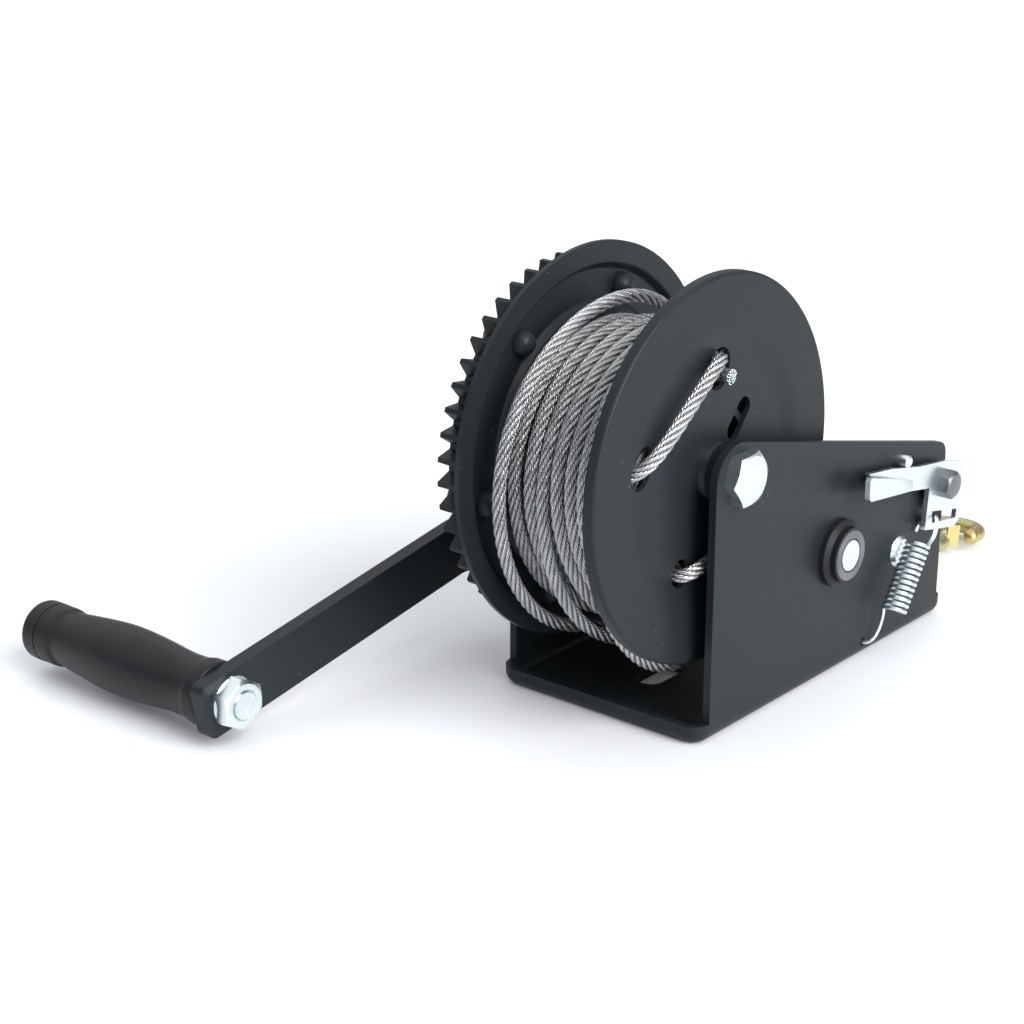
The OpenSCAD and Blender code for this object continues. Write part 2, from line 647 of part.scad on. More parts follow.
module rope_eye() color("#8f9398") {
    x = hook_at[0];
    loop = teardrop(eye_rope_r, eye_y - ferrule_y - ferrule_l, 2.6);
    leg_y = ferrule_y + ferrule_l + end_gap;
    path = concat([[0, leg_y, eye_z - 2.8], [0, leg_y + 1.2, eye_z - 2.9]], loop,
        [[0, leg_y + 1.2, eye_z + 2.9], [0, leg_y, eye_z + 2.8]]);
    tube([for (p = path) p + [x, 0, 0]], rope_d / 2, 10);
}

module thimble() color("#b9bec3") translate([hook_at[0], 0, 0]) at_x(-3.2) difference() {
    union() {
        translate([eye_y, eye_z, 0]) cylinder(r = eye_inner_r + thimble_t - fit_gap, h = 6.4);
        linear_extrude(6.4) polygon([
            [eye_y - 3.2, eye_z + 7.2], [eye_y - 9, eye_z + 0.5],
            [eye_y - 9, eye_z - 0.5], [eye_y - 3.2, eye_z - 7.2]
        ]);
    }
    translate([eye_y, eye_z, -1]) cylinder(r = eye_inner_r, h = 9);
}

module rope_ferrule() color("#b4b8bb") translate([hook_at[0], ferrule_y, eye_z]) rotate([-90, 0, 0])
    linear_extrude(ferrule_l) polygon(concat(arc([0, -2.6], 4, 180, 360, 12), arc([0, 2.6], 4, 0, 180, 12)));

// The hook's own plane: along it from the ring, across it, and up
module at_hook() {
    translate(hook_at) rotate([-hook_fall, 0, 0]) rotate([0, 0, 90]) mirror([0, 1, 0]) children();
}

function hook_path() = concat(
    [[ring_r - 1, 0, 0], [13, -1.2, 0], [16.5, -4, 0], [20, -7.6, 0], [24.5, -10.2, 0]],
    [for (a = [-90:15:90]) [bowl_at + bowl_r * cos(a), bowl_r * sin(a), 0]],
    [[26, 11.4, 0], [22.4, 12.6, 0]]);

module snap_hook() color("#b99a4a") at_hook() difference() {
    union() {
        rotate_extrude($fn = 48) translate([ring_r, 0]) circle(r = hook_r, $fn = 24);
        tube(hook_path(), hook_r, 12);
        translate([latch_at[0], latch_at[1], -2.6]) cylinder(r = 3, h = 5.2);
    }
    translate([latch_at[0], latch_at[1], -6]) cylinder(r = 1.2 + fit_gap, h = 12);
}

module hook_latch() color("#b99a4a")
    at_hook() translate([latch_at[0], latch_at[1], 0]) rotate(latch_angle) difference() {
    union() {
        for (z = [-4.9, 3.9]) translate([0, 0, z]) {
            cylinder(r = 2.8, h = 1);
            translate([0, -1.6, 0]) cube([8.6, 3.2, 1]);
        }
        translate([4.6, 1.2, -4.9]) cube([5.4, 1.2, 9.8]);
    }
    translate([0, 0, -6]) cylinder(r = 1.2 + running_gap, h = 12);
}

module latch_pin() color("#b9bec3") at_hook() translate([latch_at[0], latch_at[1], -5.6]) {
    cylinder(r = 1.2, h = 11.2);
    cylinder(r = 2, h = 0.6);
    translate([0, 0, 10.6]) cylinder(r = 2, h = 0.6);
}

frame();
axle_bolt();
axle_washer();
axle_nut();
axle_spacers();
bushing_near();
bushing_far();
lever_stop_pin();
pawl_stop_rivet();
pawl_spring();
drum_hub();
drum_core();
flange_near();
flange_gear_side();
gear_wheel();
gear_rivets();
rope_winding();
rope_anchor();
drive_spindle();
drive_sleeve();
pinion_gear();
ratchet_wheel();
retaining_rings();
crank_arm();
crank_washer();
crank_nut();
grip_bolt();
grip_washer();
grip_nut();
grip();
grip_end_cap();
pawl_lever();
pawl();
pawl_hub();
pawl_bolt();
pawl_washer();
pawl_nut();
free_rope();
rope_eye();
thimble();
rope_ferrule();
snap_hook();
hook_latch();
latch_pin();
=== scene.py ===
import json
import math

import bpy
import numpy as np
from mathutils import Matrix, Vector

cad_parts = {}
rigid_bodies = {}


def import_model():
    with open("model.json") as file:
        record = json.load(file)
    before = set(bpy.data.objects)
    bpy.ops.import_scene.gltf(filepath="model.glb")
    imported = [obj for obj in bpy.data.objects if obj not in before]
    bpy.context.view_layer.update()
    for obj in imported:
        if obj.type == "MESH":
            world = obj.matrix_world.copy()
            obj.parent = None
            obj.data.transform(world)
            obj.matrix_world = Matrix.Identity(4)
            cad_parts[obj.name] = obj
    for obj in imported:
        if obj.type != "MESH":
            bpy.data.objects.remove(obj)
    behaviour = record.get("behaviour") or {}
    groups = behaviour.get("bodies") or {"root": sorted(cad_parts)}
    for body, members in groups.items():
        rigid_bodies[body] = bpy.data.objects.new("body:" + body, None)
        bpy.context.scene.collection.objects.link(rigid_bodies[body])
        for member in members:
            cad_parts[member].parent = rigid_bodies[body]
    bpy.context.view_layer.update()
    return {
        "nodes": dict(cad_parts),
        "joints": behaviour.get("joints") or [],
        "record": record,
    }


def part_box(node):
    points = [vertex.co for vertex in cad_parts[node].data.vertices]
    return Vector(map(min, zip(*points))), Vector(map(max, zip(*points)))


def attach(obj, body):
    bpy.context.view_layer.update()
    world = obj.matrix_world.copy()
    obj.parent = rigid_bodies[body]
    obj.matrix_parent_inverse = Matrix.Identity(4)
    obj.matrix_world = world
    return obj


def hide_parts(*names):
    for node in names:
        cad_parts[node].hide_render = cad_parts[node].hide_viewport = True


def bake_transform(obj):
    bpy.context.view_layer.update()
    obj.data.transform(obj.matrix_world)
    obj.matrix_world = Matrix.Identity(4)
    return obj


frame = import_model()

MM = 0.001
joints = {j["name"]: j for j in frame["joints"]}
AXLE = Vector(joints["drum_spin"]["pos_m"])
GRIP = Vector(joints["grip_spin"]["pos_m"])

# ---------------------------------------------------------------- camera

CAMERA_AZIMUTH = math.radians(39.95)
CAMERA_ELEVATION = math.radians(19.68)
CAMERA_AIM = Vector((-0.0664, -0.0535, 0.0546))
CAMERA_DISTANCE = 0.871
CAMERA_LENS = 79.58


def make_camera():
    data = bpy.data.cameras.new("camera")
    data.lens = CAMERA_LENS
    data.sensor_width = 36
    data.clip_start = 0.01
    data.clip_end = 20
    camera = bpy.data.objects.new("camera", data)
    bpy.context.scene.collection.objects.link(camera)
    flat = math.cos(CAMERA_ELEVATION)
    back = Vector((math.sin(CAMERA_AZIMUTH) * flat, -math.cos(CAMERA_AZIMUTH) * flat,
                   math.sin(CAMERA_ELEVATION)))
    camera.location = CAMERA_AIM + back * CAMERA_DISTANCE
    camera.rotation_mode = "QUATERNION"
    camera.rotation_quaternion = (-back).to_track_quat("-Z", "Y")
    bpy.context.scene.camera = camera


make_camera()

# ---------------------------------------------------------------- mesh helpers


def add_mesh(name, points, faces, uv=None):
    """A smooth-shaded mesh object from points in the CAD frame. uv holds one pair for each face corner."""
    mesh = bpy.data.meshes.new(name)
    mesh.from_pydata([tuple(p) for p in points], [], [tuple(f) for f in faces])
    if uv is not None:
        layer = mesh.uv_layers.new(name="along")
        layer.data.foreach_set("uv", np.asarray(uv, np.float32).ravel())
    mesh.polygons.foreach_set("use_smooth", [True] * len(mesh.polygons))
    mesh.validate()
    piece = bpy.data.objects.new(name, mesh)
    bpy.context.scene.collection.objects.link(piece)
    return piece


def place(piece, body, slot, material, *nodes):
    """Puts a finished piece on its body, with its material, in place of its CAD nodes."""
    piece.data.materials.clear()
    piece.data.materials.append(material)
    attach(piece, body)
    if nodes:
        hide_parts(*nodes)
    return piece


# ---------------------------------------------------------------- curves and sweeps


def resample(points, step):
    """Points at even steps along a polyline, and the distance of each from its start."""
    points = np.asarray(points, float)
    lengths = np.r_[0, np.cumsum(np.linalg.norm(np.diff(points, axis=0), axis=1))]
    count = max(2, int(round(lengths[-1] / step)) + 1)
    at = np.linspace(0, lengths[-1], count)
    return np.stack([np.interp(at, lengths, points[:, k]) for k in range(3)], axis=1), at


def spline(points, per_span=12):
    """A smooth curve through a route's points."""
    p = [Vector(q) for q in points]
    p = [p[0] * 2 - p[1]] + p + [p[-1] * 2 - p[-2]]
    out = []
    for i in range(1, len(p) - 2):
        for k in range(per_span):
            t = k / per_span
            out.append(0.5 * (2 * p[i] + (p[i + 1] - p[i - 1]) * t
                              + (2 * p[i - 1] - 5 * p[i] + 4 * p[i + 1] - p[i + 2]) * t * t
                              + (3 * p[i] - p[i - 1] - 3 * p[i + 1] + p[i + 2]) * t ** 3))
    out.append(p[-2])
    return [tuple(q) for q in out]


def frames(path, closed=False):
    """Tangent and two side directions at each point of a path, carried along it without twist."""
    path = np.asarray(path, float)
    if closed:
        tangent = np.roll(path, -1, axis=0) - np.roll(path, 1, axis=0)
    else:
        tangent = np.gradient(path, axis=0)
    tangent /= np.linalg.norm(tangent, axis=1)[:, None]
    first = np.cross(tangent[0], [0, 0, 1] if abs(tangent[0][2]) < 0.9 else [0, 1, 0])
    side = [first / np.linalg.norm(first)]
    for t in tangent[1:]:
        s = side[-1] - t * np.dot(side[-1], t)
        side.append(s / np.linalg.norm(s))
    side = np.array(side)
    return tangent, side, np.cross(tangent, side)


def sweep(name, path, section, closed=False):
    """A tube whose section at point i is section(i): a list of (side, up) offsets in metres."""
    tangent, side, up = frames(path, closed)
    path = np.asarray(path, float)
    points = []
    for i in range(len(path)):
        for a, b in section(i):
            points.append(path[i] + side[i] * a + up[i] * b)
    n = len(points) // len(path)
    rings = len(path)
    faces = []
    for i in range(rings if closed else rings - 1):
        j = (i + 1) % rings
        for k in range(n):
            m = (k + 1) % n
            faces.append((i * n + k, i * n + m, j * n + m, j * n + k))
    if not closed:
        faces.append(tuple(reversed(range(n))))
        faces.append(tuple(range((rings - 1) * n, rings * n)))
    return add_mesh(name, points, faces)


def circle(r, sides=16):
    """Points round a circle, from the first direction."""
    turn = 2 * math.pi / sides
    return [(r * math.cos(turn * k), r * math.sin(turn * k)) for k in range(sides)]


def lathe(name, centre, profile, sides=128):
    """A ring turned about the X line through centre, from a closed profile of (x, radius)."""
    points = [(x, centre[1] + a, centre[2] + b) for x, r in profile for a, b in circle(r, sides)]
    rows = len(profile)
    faces = []
    for i in range(rows):
        j = (i + 1) % rows
        for k in range(sides):
            m = (k + 1) % sides
            faces.append((i * sides + k, j * sides + k, j * sides + m, i * sides + m))
    return add_mesh(name, points, faces)


def join(name, pieces):
    """One mesh from several."""
    bpy.context.view_layer.update()
    for piece in bpy.context.scene.objects:
        piece.select_set(piece in pieces)
    bpy.context.view_layer.objects.active = pieces[0]
    bpy.ops.object.join()
    pieces[0].name = name
    return pieces[0]


# ---------------------------------------------------------------- wire rope

ROPE_R = 2.5 * MM
ROPE_LAY = 27 * MM
STRANDS = 6
STRAND_R = ROPE_R / 3 * 1.04
STRAND_CIRCLE = ROPE_R - STRAND_R


def strand_section(per_strand):
    """Angle and radius of the points round a rope of round strands."""
    half = math.pi / STRANDS
    out = []
    for s in range(STRANDS):
        for k in range(per_strand):
            a = -half + 2 * half * k / per_strand
            reach = max(STRAND_R ** 2 - (STRAND_CIRCLE * math.sin(a)) ** 2, 0)
            out.append((2 * math.pi * s / STRANDS + a, STRAND_CIRCLE * math.cos(a) + math.sqrt(reach)))
    return out


def rope_mesh(name, paths, step=1.5 * MM, per_strand=6):
    """One mesh of stranded rope along each path. The UVs hold turns round the rope and lays along it."""
    section = np.array(strand_section(per_strand))
    n = len(section)
    points, faces, uv = [], [], []
    for path in paths:
        path, at = resample(path, step)
        tangent, side, up = frames(path)
        base = len(points)
        for i in range(len(path)):
            a = section[:, 0] + 2 * math.pi * at[i] / ROPE_LAY
            outward = np.cos(a)[:, None] * side[i] + np.sin(a)[:, None] * up[i]
            points.extend((path[i] + section[:, 1, None] * outward).tolist())
        round_rope = np.arange(n + 1) / n
        for i in range(len(path) - 1):
            this, after = base + i * n, base + (i + 1) * n
            lay = at[i] / ROPE_LAY, at[i + 1] / ROPE_LAY
            for k in range(n):
                m = (k + 1) % n
                faces.append((this + k, this + m, after + m, after + k))
                uv += [(round_rope[k] + lay[0], lay[0]), (round_rope[k + 1] + lay[0], lay[0]),
                       (round_rope[k + 1] + lay[1], lay[1]), (round_rope[k] + lay[1], lay[1])]
        last = base + (len(path) - 1) * n
        for ring, order in ((base, -1), (last, 1)):
            faces.append(tuple(ring + k for k in range(n))[::order])
            # the middle of a strand, away from the painted shade of its grooves
            uv += [(0.5 + 0.5 / STRANDS, 0.5)] * n
    return add_mesh(name, points, faces, uv)


# Free rope, down past the wound turns and along the base to the ferrule
ROPE_ROUTE = [
    (29.3, -104, 130), (29.2, -114.5, 118), (29.1, -121.5, 103), (29, -123.5, 86), (28.8, -121, 69),
    (28.7, -114.5, 53.5), (28.8, -105.5, 41.5), (29, -94.5, 32), (29, -81, 26.4), (28.6, -64, 24.6),
    (26.8, -40, 25), (24, -15, 25), (19.5, 15, 23.4), (14.5, 45, 19.4),
    (11.2, 70, 15), (10.1, 84, 13.3), (10, 88.8, 13.3),
]


def in_metres(points):
    return [tuple(MM * c for c in p) for p in points]


free_path = spline(in_metres(ROPE_ROUTE))
free_rope = rope_mesh("free_rope_strands", [free_path])

# The eye stands upright: round the thimble, and back into the ferrule
thimble_low, thimble_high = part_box("thimble")
ferrule_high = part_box("rope_ferrule")[1]
EYE_OUTER_R = 8.15 * MM
EYE = Vector(((thimble_low[0] + thimble_high[0]) / 2, thimble_high[1] - EYE_OUTER_R,
              (thimble_low[2] + thimble_high[2]) / 2))
EYE_R = 10.75 * MM
EYE_OPEN = math.radians(47)


def eye_path():
    leg = ferrule_high[1]
    around = [(EYE.x, EYE.y + EYE_R * math.cos(a), EYE.z + EYE_R * math.sin(a))
              for a in np.linspace(-(math.pi - EYE_OPEN), math.pi - EYE_OPEN, 49)]
    return spline([(EYE.x, leg - 2 * MM, EYE.z - 2.7 * MM), (EYE.x, leg, EYE.z - 2.8 * MM)] + around[::4]
                  + [(EYE.x, leg, EYE.z + 2.8 * MM), (EYE.x, leg - 2 * MM, EYE.z + 2.7 * MM)], 6)


rope_eye = rope_mesh("rope_eye_strands", [eye_path()])

# Rope end laced through the near flange, in mm from the axle: a strand up the face, the cut end that comes
# out again beside it, and a bight below
ANCHOR_STRAND = [
    (31.2, -46.8, 8.2), (33, -45.4, 9.2), (34.8, -44, 10.4), (36.8, -41.6, 12.4), (38.3, -37.6, 15.7),
    (38.8, -31, 20.6), (38.8, -24, 26), (38.8, -16, 32), (38.8, -8, 38), (38, -2.6, 40.9),
    (35.8, -0.1, 40.3), (33.6, 0.4, 39.9), (31.6, 0.8, 39.4),
]
ANCHOR_END = [(31.6, 3, 34.2), (34, 2.2, 34.4), (37, 1.1, 34.7), (39.4, 0.4, 34.9)]
ANCHOR_BIGHT = [
    (31.6, -20.4, -33.8), (33.6, -20, -33.6), (35.8, -19.4, -33.4), (38, -16.6, -32.8), (38.8, -9, -31.2),
    (38.8, -2, -30), (38.8, 5, -29.4), (38.4, 13, -29.4), (36.2, 17.8, -29.8), (33.6, 19, -30),
    (31.6, 19.6, -30.2),
]


def from_axle(points):
    return [(x * MM, AXLE.y + y * MM, AXLE.z + z * MM) for x, y, z in points]


anchor_paths = [spline(from_axle(p)) for p in (ANCHOR_STRAND, ANCHOR_END, ANCHOR_BIGHT)]
anchor = rope_mesh("rope_anchor_strands", anchor_paths, 0.8 * MM, 8)

# The cut end's wires: a little brush that spreads as it leaves the rope, with a few stray wires at the
# lower left. Each ring is a radius in mm and its number of wires.
FRAY_RINGS = ((0.0, 1), (0.75, 6), (1.5, 11), (2.15, 16))
FRAY_X = (38.4, 39.4, 40.4, 41.2)
FRAY_R = 0.3 * MM
FRAY_AT = (0.3, 34.9)


def fray_wires():
    wires = []
    for r, count in FRAY_RINGS:
        for k in range(count):
            a = 2 * math.pi * (k + 0.3 * r) / count
            y, z = math.cos(a), math.sin(a)
            low_left = max(0.0, -(y + z) / math.sqrt(2)) ** 3
            lean = r * (0.12 + 0.5 * low_left * ((k * 7) % 3) / 2)
            short = 0.3 * ((k * 5) % 4) / 3
            path = [(x - short * i / 3, FRAY_AT[0] + y * (r + lean * (i / 3) ** 1.6),
                     FRAY_AT[1] + z * (r + lean * (i / 3) ** 1.6)) for i, x in enumerate(FRAY_X)]
            wires.append(sweep(f"fray_{len(wires)}", spline(from_axle(path), 3), lambda i: circle(FRAY_R, 8)))
    return join("rope_anchor_fray", wires)


fray = fray_wires()

# Turns on the drum: neat ones round the core, then loose ones that are pushed apart for a set number of
# rounds
CORE_R = 24 * MM
TURN_X = (-17 * MM, 30.3 * MM)
LOOSE_TURN_X = (-17 * MM, 23.2 * MM)
NEAT_LAYERS = 3
NEAT_TURNS = 9
POINTS_PER_TURN = 48


def neat_turns():
    """Layers wound close together, from side to side and back."""
    path = []
    for layer in range(NEAT_LAYERS):
        r = CORE_R + ROPE_R * (1.1 + 1.8 * layer)
        ends = TURN_X if layer % 2 == 0 else TURN_X[::-1]
        for i in range(NEAT_TURNS * POINTS_PER_TURN):
            t = i / (NEAT_TURNS * POINTS_PER_TURN)
            a = 2 * math.pi * NEAT_TURNS * t
            x = ends[0] + (ends[1] - ends[0]) * t
            path.append((x, AXLE.y + r * math.cos(a), AXLE.z + r * math.sin(a)))
    return path


# Loose turns: x and radius (mm) at the top, the front, the bottom and the back of each turn
LOOSE_TURNS = [
    ((20, 41), (20, 46), (21, 48), (21, 41)),
    ((14, 41), (14, 46), (15, 49), (16, 41)),
    ((8, 41), (8, 46), (9, 50), (10, 41)),
    ((2, 41), (3, 46), (3, 51), (4, 41)),
    ((-4, 41), (-3, 46), (-3, 51), (-2, 41)),
    ((-10, 41), (-9, 46), (-9, 52), (-8, 41)),
    ((-15, 42), (-15, 47), (-14, 54), (-13, 42)),
    ((-10, 46), (-12, 52), (-9, 57), (-7, 46)),
    ((-4, 56), (-10, 62.5), (-9, 67), (5, 54)),
    ((-4, 46), (-5, 52), (1, 58), (3, 46)),
    ((2, 46), (0, 51), (8, 68.5), (10, 47)),
    ((8, 46), (6, 51), (15, 60), (15, 46)),
    ((14, 46), (12, 51), (20, 57), (20, 46)),
    ((20, 47), (18, 52), (23, 54), (22, 46)),
]
LOOSE_STEP = 4 * MM
LOOSE_ROUNDS = 140
MAX_TURN_R = 69 * MM
PUSH_SHARE = 0.9
SMOOTH_SHARE = 0.06
NEIGHBOURS = 4
BATCH = 200


def loose_turns():
    """The loose turns as one path through the places listed above."""
    keys = []
    for t, turn in enumerate(LOOSE_TURNS):
        for q, (x, r) in enumerate(turn):
            a = math.radians(90 + 90 * q)
            keys.append((a + 2 * math.pi * t, x * MM, r * MM))
    keys = np.array(keys)
    angle = np.linspace(keys[0, 0], keys[-1, 0], len(LOOSE_TURNS) * 60)
    smooth = []
    for column in (1, 2):
        curve = np.array(spline([(k[0], k[column], 0) for k in keys], 15))
        smooth.append(np.interp(angle, curve[:, 0], curve[:, 1]))
    x, r = smooth
    return np.stack([x, AXLE.y + r * np.cos(angle), AXLE.z + r * np.sin(angle)], axis=1)


def push_apart(loose, fixed):
    """Moves the loose turns so that stretches of rope closer than a rope's diameter part."""
    gap = 2 * ROPE_R * 1.01
    axle = np.array([AXLE.y, AXLE.z])
    points = loose.copy()
    index = np.arange(len(points))
    for _ in range(LOOSE_ROUNDS):
        move = np.zeros_like(points)
        for others, own in ((points, True), (fixed, False)):
            for start in range(0, len(points), BATCH):
                batch = slice(start, start + BATCH)
                apart = points[batch][:, None] - others[None]
                distance = np.linalg.norm(apart, axis=2) + 1e-9
                close = distance < gap
                if own:
                    close &= np.abs(index[batch, None] - index[None]) > NEIGHBOURS
                push = np.where(close, (gap - distance) / distance * (0.5 if own else 1), 0)
                count = np.maximum(close.sum(axis=1), 1)[:, None]
                move[batch] += (apart * push[:, :, None]).sum(axis=1) / count
        points += move * PUSH_SHARE
        bend = np.zeros_like(points)
        bend[2:-2] = points[:-4] - 4 * points[1:-3] + 6 * points[2:-2] - 4 * points[3:-1] + points[4:]
        points -= bend * SMOOTH_SHARE
        points[:, 0] = np.clip(points[:, 0], *LOOSE_TURN_X)
        out = points[:, 1:] - axle
        r = np.linalg.norm(out, axis=1)
        points[:, 1:] = axle + out * (np.clip(r, CORE_R + ROPE_R, MAX_TURN_R) / r)[:, None]
    return points


neat_path = neat_turns()
loose_path = push_apart(resample(loose_turns(), LOOSE_STEP)[0], resample(neat_path, LOOSE_STEP)[0])
wound_loose = rope_mesh("rope_turns_loose", [spline(loose_path, 4)], 1.6 * MM, 6)
wound_neat = rope_mesh("rope_turns_neat", [neat_path], 3 * MM, 4)

# ---------------------------------------------------------------- pawl spring

SPRING_FOOT = Vector((53.6, 32.4, 18)) * MM
SPRING_TOP = Vector((53.6, 48, 41.4)) * MM
SPRING_R = 4.2 * MM
SPRING_WIRE_R = 0.8 * MM
SPRING_TURNS = 13
SPRING_STEP = 20
SPRING_FROM, SPRING_TO = 225, 360 * SPRING_TURNS + 60
SPRING_LEG = [
    (41, 23.2, 11.3), (41.1, 23.2, 8.3), (42.4, 23.2, 6.3), (46.6, 23.2, 6.3), (48.6, 23.9, 6.9),
    (49.8, 25.6, 8.7), (50.3, 27.6, 11.7), (50.5, 29.3, 15.9),
]
SPRING_HOOK = [
    (54.6, 55.4, 40), (54.4, 59, 41.8), (53.7, 61.6, 44.8), (52.6, 63.4, 46.8), (51.2, 64.4, 47.3),
    (49.6, 64.6, 47.1), (48.2, 64.2, 46.7), (47.3, 62.8, 46.1), (47.2, 60.6, 45.2), (47.2, 58, 43.8),
    (47.2, 56.6, 42.4),
]


def spring_path():
    """The leg that hooks into the side plate, the coil, and the hook on the lever."""
    axis = SPRING_TOP - SPRING_FOOT
    u = Vector((1, 0, 0))
    v = axis.normalized().cross(u)
    coil = []
    count = (SPRING_TO - SPRING_FROM) // SPRING_STEP
    for i in range(count + 1):
        a = math.radians(SPRING_FROM + (SPRING_TO - SPRING_FROM) * i / count)
        coil.append(tuple(SPRING_FOOT + axis * (i / count) + (u * math.cos(a) + v * math.sin(a)) * SPRING_R))
    return spline(in_metres(SPRING_LEG) + coil + in_metres(SPRING_HOOK), 4)


pawl_spring = sweep("pawl_spring_wire", spring_path(), lambda i: circle(SPRING_WIRE_R, 14))

# ---------------------------------------------------------------- grip

# Distance from the arm and radius, in mm: a palm swell, then the waist before the end cap
GRIP_PROFILE = [
    (0, 11.6), (0.25, 12.05), (0.8, 12.35), (1.6, 12.4), (5.4, 12.4), (6.4, 12.2), (7.5, 11.8), (9.5, 11.5),
    (12, 11.38), (15, 11.3), (18, 11.34), (23, 11.7), (28, 12.2), (33, 12.6), (38, 12.95), (43, 13.2),
    (48, 13.28), (53, 13.15), (57, 12.85), (62, 12.4), (68, 11.75), (73, 11.15), (77, 10.7), (79.4, 10.5),
    (80.2, 10.55), (80.8, 11), (81.5, 11.3), (83, 11.4), (87.6, 11.45), (88.6, 11.4), (89, 11.1),
]
GRIP_BORE_R = 5.2
GRIP_POCKET_FLOOR, GRIP_POCKET_R = 81.6, 9.2


def grip_mesh():
    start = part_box("grip")[1][0]
    end = GRIP_PROFILE[-1][0]
    inside = [(end, GRIP_POCKET_R), (GRIP_POCKET_FLOOR, GRIP_POCKET_R), (GRIP_POCKET_FLOOR, GRIP_BORE_R),
              (0, GRIP_BORE_R)]
    return lathe("grip_sleeve", GRIP, [(start - x * MM, r * MM) for x, r in GRIP_PROFILE + inside])


grip = grip_mesh()

# ---------------------------------------------------------------- snap hook

HOOK_AT = Vector((10, 126.1, 10.6)) * MM
HOOK_FALL = math.radians(7.5)
HOOK_R = 3.3
HOOK_RING_R = 10
HOOK_SHANK = [(9, 0), (13, -1.2), (16.5, -4), (20, -7.6), (24.5, -10.2)]
HOOK_BOWL_AT, HOOK_BOWL_R = 30, 11
HOOK_TIP = [(26, 11.4), (23.4, 12.3), (22.4, 12.6)]
LATCH_BOSS_AT = (14.5, 0.2)
BOSS_RIM = [(-2.6, 2.7), (-2.3, 3.0), (2.3, 3.0), (2.6, 2.7)]
BOSS_SIDES = 48


def on_hook(along, across, up=0.0):
    """A place in the hook's own plane, from its ring's centre, in mm."""
    c, s = math.cos(HOOK_FALL), math.sin(HOOK_FALL)
    return HOOK_AT + Vector((across, along * c + up * s, -along * s + up * c)) * MM


def hook_mesh():
    """The ring, the shank and bowl that taper to the tip, and the boss that carries the latch."""
    ring = [tuple(on_hook(HOOK_RING_R * math.cos(a), HOOK_RING_R * math.sin(a)))
            for a in np.linspace(0, 2 * math.pi, 97)[:-1]]
    ring = sweep("hook_ring", ring, lambda i: circle(HOOK_R * MM, 32), closed=True)
    bowl = [(HOOK_BOWL_AT + HOOK_BOWL_R * math.cos(a), HOOK_BOWL_R * math.sin(a))
            for a in np.radians(np.arange(-90, 91, 15))]
    path = spline([tuple(on_hook(*p)) for p in HOOK_SHANK + bowl + HOOK_TIP], 8)
    path, at = resample(path, 0.6 * MM)
    left = (at[-1] - at) / MM

    def section(i):
        tip = min(1.0, left[i] / HOOK_R)
        return circle(HOOK_R * MM * max(0.35, math.sqrt(1 - (1 - tip) ** 2)), 32)
    shank = sweep("hook_shank", path, section)
    n = BOSS_SIDES
    boss = [tuple(on_hook(LATCH_BOSS_AT[0] + a, LATCH_BOSS_AT[1] + b, up))
            for up, r in BOSS_RIM for a, b in circle(r, n)]
    faces = [(i * n + k, i * n + (k + 1) % n, (i + 1) * n + (k + 1) % n, (i + 1) * n + k)
             for i in range(len(BOSS_RIM) - 1) for k in range(n)]
    faces += [tuple(range(n - 1, -1, -1)), tuple(range(len(boss) - n, len(boss)))]
    return join("snap_hook_forged", [ring, shank, add_mesh("hook_boss", boss, faces)])


snap_hook = hook_mesh()

# ---------------------------------------------------------------- materials


